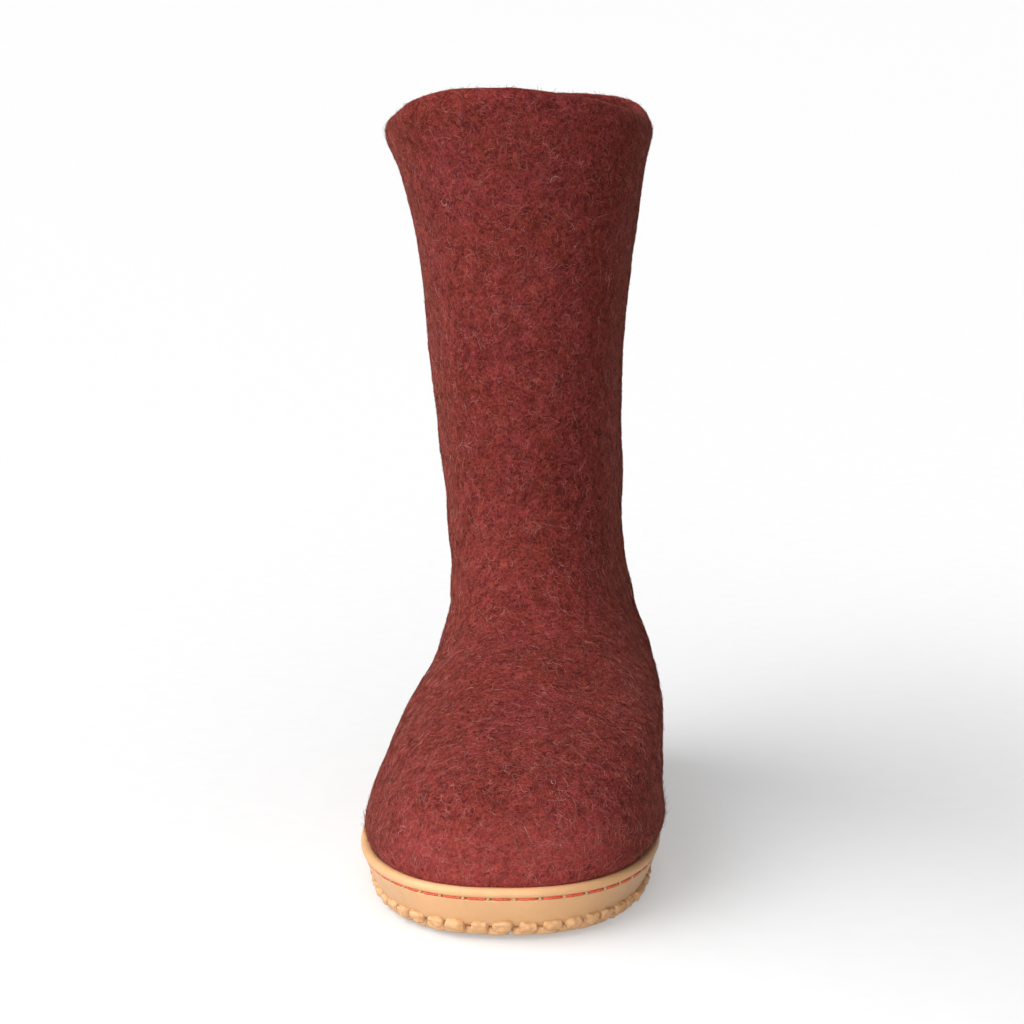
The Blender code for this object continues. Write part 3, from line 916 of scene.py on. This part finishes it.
def make_stitches():
    """Red-orange stitches that lie in the groove."""
    blocks = []
    for angle in even_angles(round(lip_length() / STITCH_PITCH)):
        pitch = turn_per_metre(angle)
        points = []
        for k, share in enumerate(np.linspace(-1, 1, STITCH_PARTS + 1)):
            spot, outward, _ = groove_frame(angle + share * STITCH_LENGTH / 2 * pitch)
            bow = 1 - abs(share) ** 5
            middle = spot - outward * (THREAD_RADIUS * 0.9 + STITCH_DIVE * (1 - bow))
            radius = THREAD_RADIUS * (0.65 + 0.35 * bow)
            for a in range(STITCH_AROUND):
                turn = math.tau * a / STITCH_AROUND + k * 0.45
                ply = 1.0 + 0.15 * math.cos(2 * turn - k)
                away = outward * math.cos(turn) + np.array((0, 0, 1.25)) * math.sin(turn)
                points.append(middle + away * radius * ply)
        blocks.append((np.array(points), loft_faces(STITCH_PARTS + 1, STITCH_AROUND)))
    return join_blocks("stitches", blocks, thread_material("thread", THREAD))


def make_bridges(rng):
    """The rubber between two stitches, which fills the groove, and small dark blocks beside it that stand
    for the holes: painted shade.
    """
    cube, cube_faces = round_block(4, 3.0)
    half_height = GROOVE_WIDTH * 0.55
    bridges, holes = [], []
    for angle in even_angles(round(lip_length() / STITCH_PITCH), 0.5):
        pitch = turn_per_metre(angle)
        spot, outward, along = groove_frame(angle)
        half_length = BRIDGE_LENGTH * rng.uniform(0.85, 1.1) / 2
        place = (spot - outward * BRIDGE_INSET + cube[:, :1] * along * half_length
                 + cube[:, 1:2] * outward * BRIDGE_DEPTH / 2 + cube[:, 2:] * UP * half_height)
        bridges.append((place, cube_faces))
        for side in (-1, 1):
            if rng.random() < HOLES_HIDDEN:
                continue
            away = side * (BRIDGE_LENGTH / 2 + HOLE_RADIUS * 0.7)
            spot, outward, _ = groove_frame(angle + away * pitch)
            # A hole is a small dark block set into the groove: painted shade.
            holes.append((spot - outward * HOLE_INSET + cube * HOLE_RADIUS, cube_faces))
    return [
        join_blocks("stitch_bridges", bridges, rubber_material("rubber_bridge", BRIDGE, 0.1)),
        join_blocks("stitch_holes", holes, plain_material("hole_shade", HOLE_PAINTED_SHADE, 0.9)),
    ]


def make_insole():
    angles = even_angles(INSOLE_COLUMNS)
    middle_inset = corner_rows(0.0)[0][0]
    under = corner_rows(FEATHER_RADIUS)[0][1] + FELT_WALL + CLEARANCE
    side = middle_inset - (FEATHER_RADIUS - FELT_WALL) + INSOLE_GAP
    rounding = INSOLE_THICKNESS / 3
    top = under + INSOLE_THICKNESS
    rows = [(side + 0.001, under), (side, under + rounding), (side, top - rounding),
            (side + rounding, top)]
    rows += [(side + inset, top) for inset in INSOLE_INSETS]
    grid = np.array([sole_ring(angles, inset, height) for inset, height in rows])
    grid[3:, :, 2] += perlin(grid[3:], 0.012, 2.0) * 0.0002
    faces = list(loft_faces(len(grid), INSOLE_COLUMNS))
    faces += cap_faces(0, INSOLE_COLUMNS, False)
    faces += cap_faces((len(grid) - 1) * INSOLE_COLUMNS, INSOLE_COLUMNS, True)
    dull = felt_material("insole_felt", INSOLE_RUST, INSOLE_ROSE, FELT_DARK)
    return make_piece("insole_sheet", grid, faces, dull)


rng = np.random.default_rng(SEED)
felt, skin = make_felt()
pieces = [felt]
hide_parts("upper")
for name, count, colour, *sizes, at_toe in FIBRES:
    pieces.append(make_fibres(name, skin, count, colour, *sizes, at_toe, rng))
cup = make_cup()
lugs = make_lugs(rng)
tread = make_tread(rng)
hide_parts("outsole")
stitches = make_stitches()
bridges = make_bridges(rng)
insole = make_insole()
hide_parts("insole")
pieces += [cup, lugs, tread, stitches, *bridges, insole]
for piece in pieces:
    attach(piece, "root")


# Floor, light and camera

CAMERA_SIDE = 0.057
CAMERA_BACK = 1.0
CAMERA_HEIGHT = 0.325
CAMERA_PITCH = 10.0
CAMERA_TURN = 2.889
FOCAL_SHARE = 3091 / 1024
FLOOR_SIZE = 120.0
FLOOR_GREY = (0.42, 0.42, 0.42)
FLOOR_GLOW = 0.33
FILL = 0.16

# Dark panel: side of its low and high edge, height of both, front and back end
FLAG_SIDES = (0.30, 0.19)
FLAG_HEIGHTS = (0.14, 0.50)
FLAG_ENDS = (-0.40, 0.25)
FLAG_GREY = (0.02, 0.02, 0.02)


def make_floor():
    """A wide plain floor with a little light of its own, so that shadows on it stay pale."""
    half = FLOOR_SIZE / 2
    points = [(-half, -half, 0), (half, -half, 0), (half, half, 0), (-half, half, 0)]
    pale = plain_material("floor", FLOOR_GREY, 0.7)
    shader = pale.node_tree.nodes["Principled BSDF"]
    shader.inputs["Emission Color"].default_value = (1.0, 1.0, 1.0, 1.0)
    shader.inputs["Emission Strength"].default_value = FLOOR_GLOW
    make_piece("floor", points, [(0, 1, 2, 3)], pale)


def make_sun(name, towards, spread, power):
    """A wide soft light from a direction, as even on the floor as on the boot."""
    data = bpy.data.lights.new(name, "SUN")
    data.angle = math.radians(spread)
    data.energy = power
    light = bpy.data.objects.new(name, data)
    light.rotation_euler = Vector(towards).to_track_quat("Z", "Y").to_euler()
    light.location = Vector(towards) * 2
    bpy.context.scene.collection.objects.link(light)


def make_front(place, target, size, power):
    """A small low light in front, which falls off from the toe to the shaft."""
    data = bpy.data.lights.new("front", "AREA")
    data.shape = "DISK"
    data.size = size
    data.energy = power
    light = bpy.data.objects.new("front", data)
    light.location = place
    light.rotation_euler = (Vector(target) - Vector(place)).to_track_quat("-Z", "Y").to_euler()
    bpy.context.scene.collection.objects.link(light)


def make_flag():
    """A dark panel beside the boot, out of view, that keeps its inner side in shade."""
    (low_x, high_x), (low_z, high_z), (front, back) = FLAG_SIDES, FLAG_HEIGHTS, FLAG_ENDS
    points = [(low_x, front, low_z), (low_x, back, low_z), (high_x, back, high_z), (high_x, front, high_z)]
    flag = make_piece("flag", points, [(0, 1, 2, 3)], plain_material("flag", FLAG_GREY, 0.9))
    flag.visible_camera = False


def make_world():
    """Soft fill that the camera sees as plain white."""
    world = bpy.data.worlds.new("studio")
    world.use_nodes = True
    tree = world.node_tree
    fill = tree.nodes["Background"]
    fill.inputs["Color"].default_value = (1.0, 1.0, 1.0, 1.0)
    fill.inputs["Strength"].default_value = FILL
    seen = tree.nodes.new("ShaderNodeBackground")
    seen.inputs["Color"].default_value = (1.0, 1.0, 1.0, 1.0)
    both = tree.nodes.new("ShaderNodeMixShader")
    path = tree.nodes.new("ShaderNodeLightPath")
    tree.links.new(path.outputs["Is Camera Ray"], both.inputs["Fac"])
    tree.links.new(fill.outputs["Background"], both.inputs[1])
    tree.links.new(seen.outputs["Background"], both.inputs[2])
    tree.links.new(both.outputs["Shader"], tree.nodes["World Output"].inputs["Surface"])
    bpy.context.scene.world = world


def make_camera():
    data = bpy.data.cameras.new("camera")
    data.sensor_width = 36.0
    data.lens = 36.0 * FOCAL_SHARE
    data.clip_end = 200.0
    camera = bpy.data.objects.new("camera", data)
    tilt = Matrix.Rotation(math.radians(90 - CAMERA_PITCH), 4, "X")
    turn = Matrix.Rotation(math.radians(CAMERA_TURN), 4, "Y")
    place = Matrix.Translation((CAMERA_SIDE, TOE_Y - CAMERA_BACK, CAMERA_HEIGHT))
    camera.matrix_world = place @ tilt @ turn
    bpy.context.scene.collection.objects.link(camera)
    bpy.context.scene.camera = camera


make_floor()
make_camera()
make_sun("key", (-0.84, -0.24, 0.55), spread=85, power=4.1)
make_sun("top", (-0.18, -0.34, 0.92), spread=100, power=2.65)
make_front((0.03, -0.60, 0.12), (0.0, -0.12, 0.03), size=0.25, power=1.45)
make_flag()
make_world()
bpy.context.scene.view_settings.view_transform = "Standard"
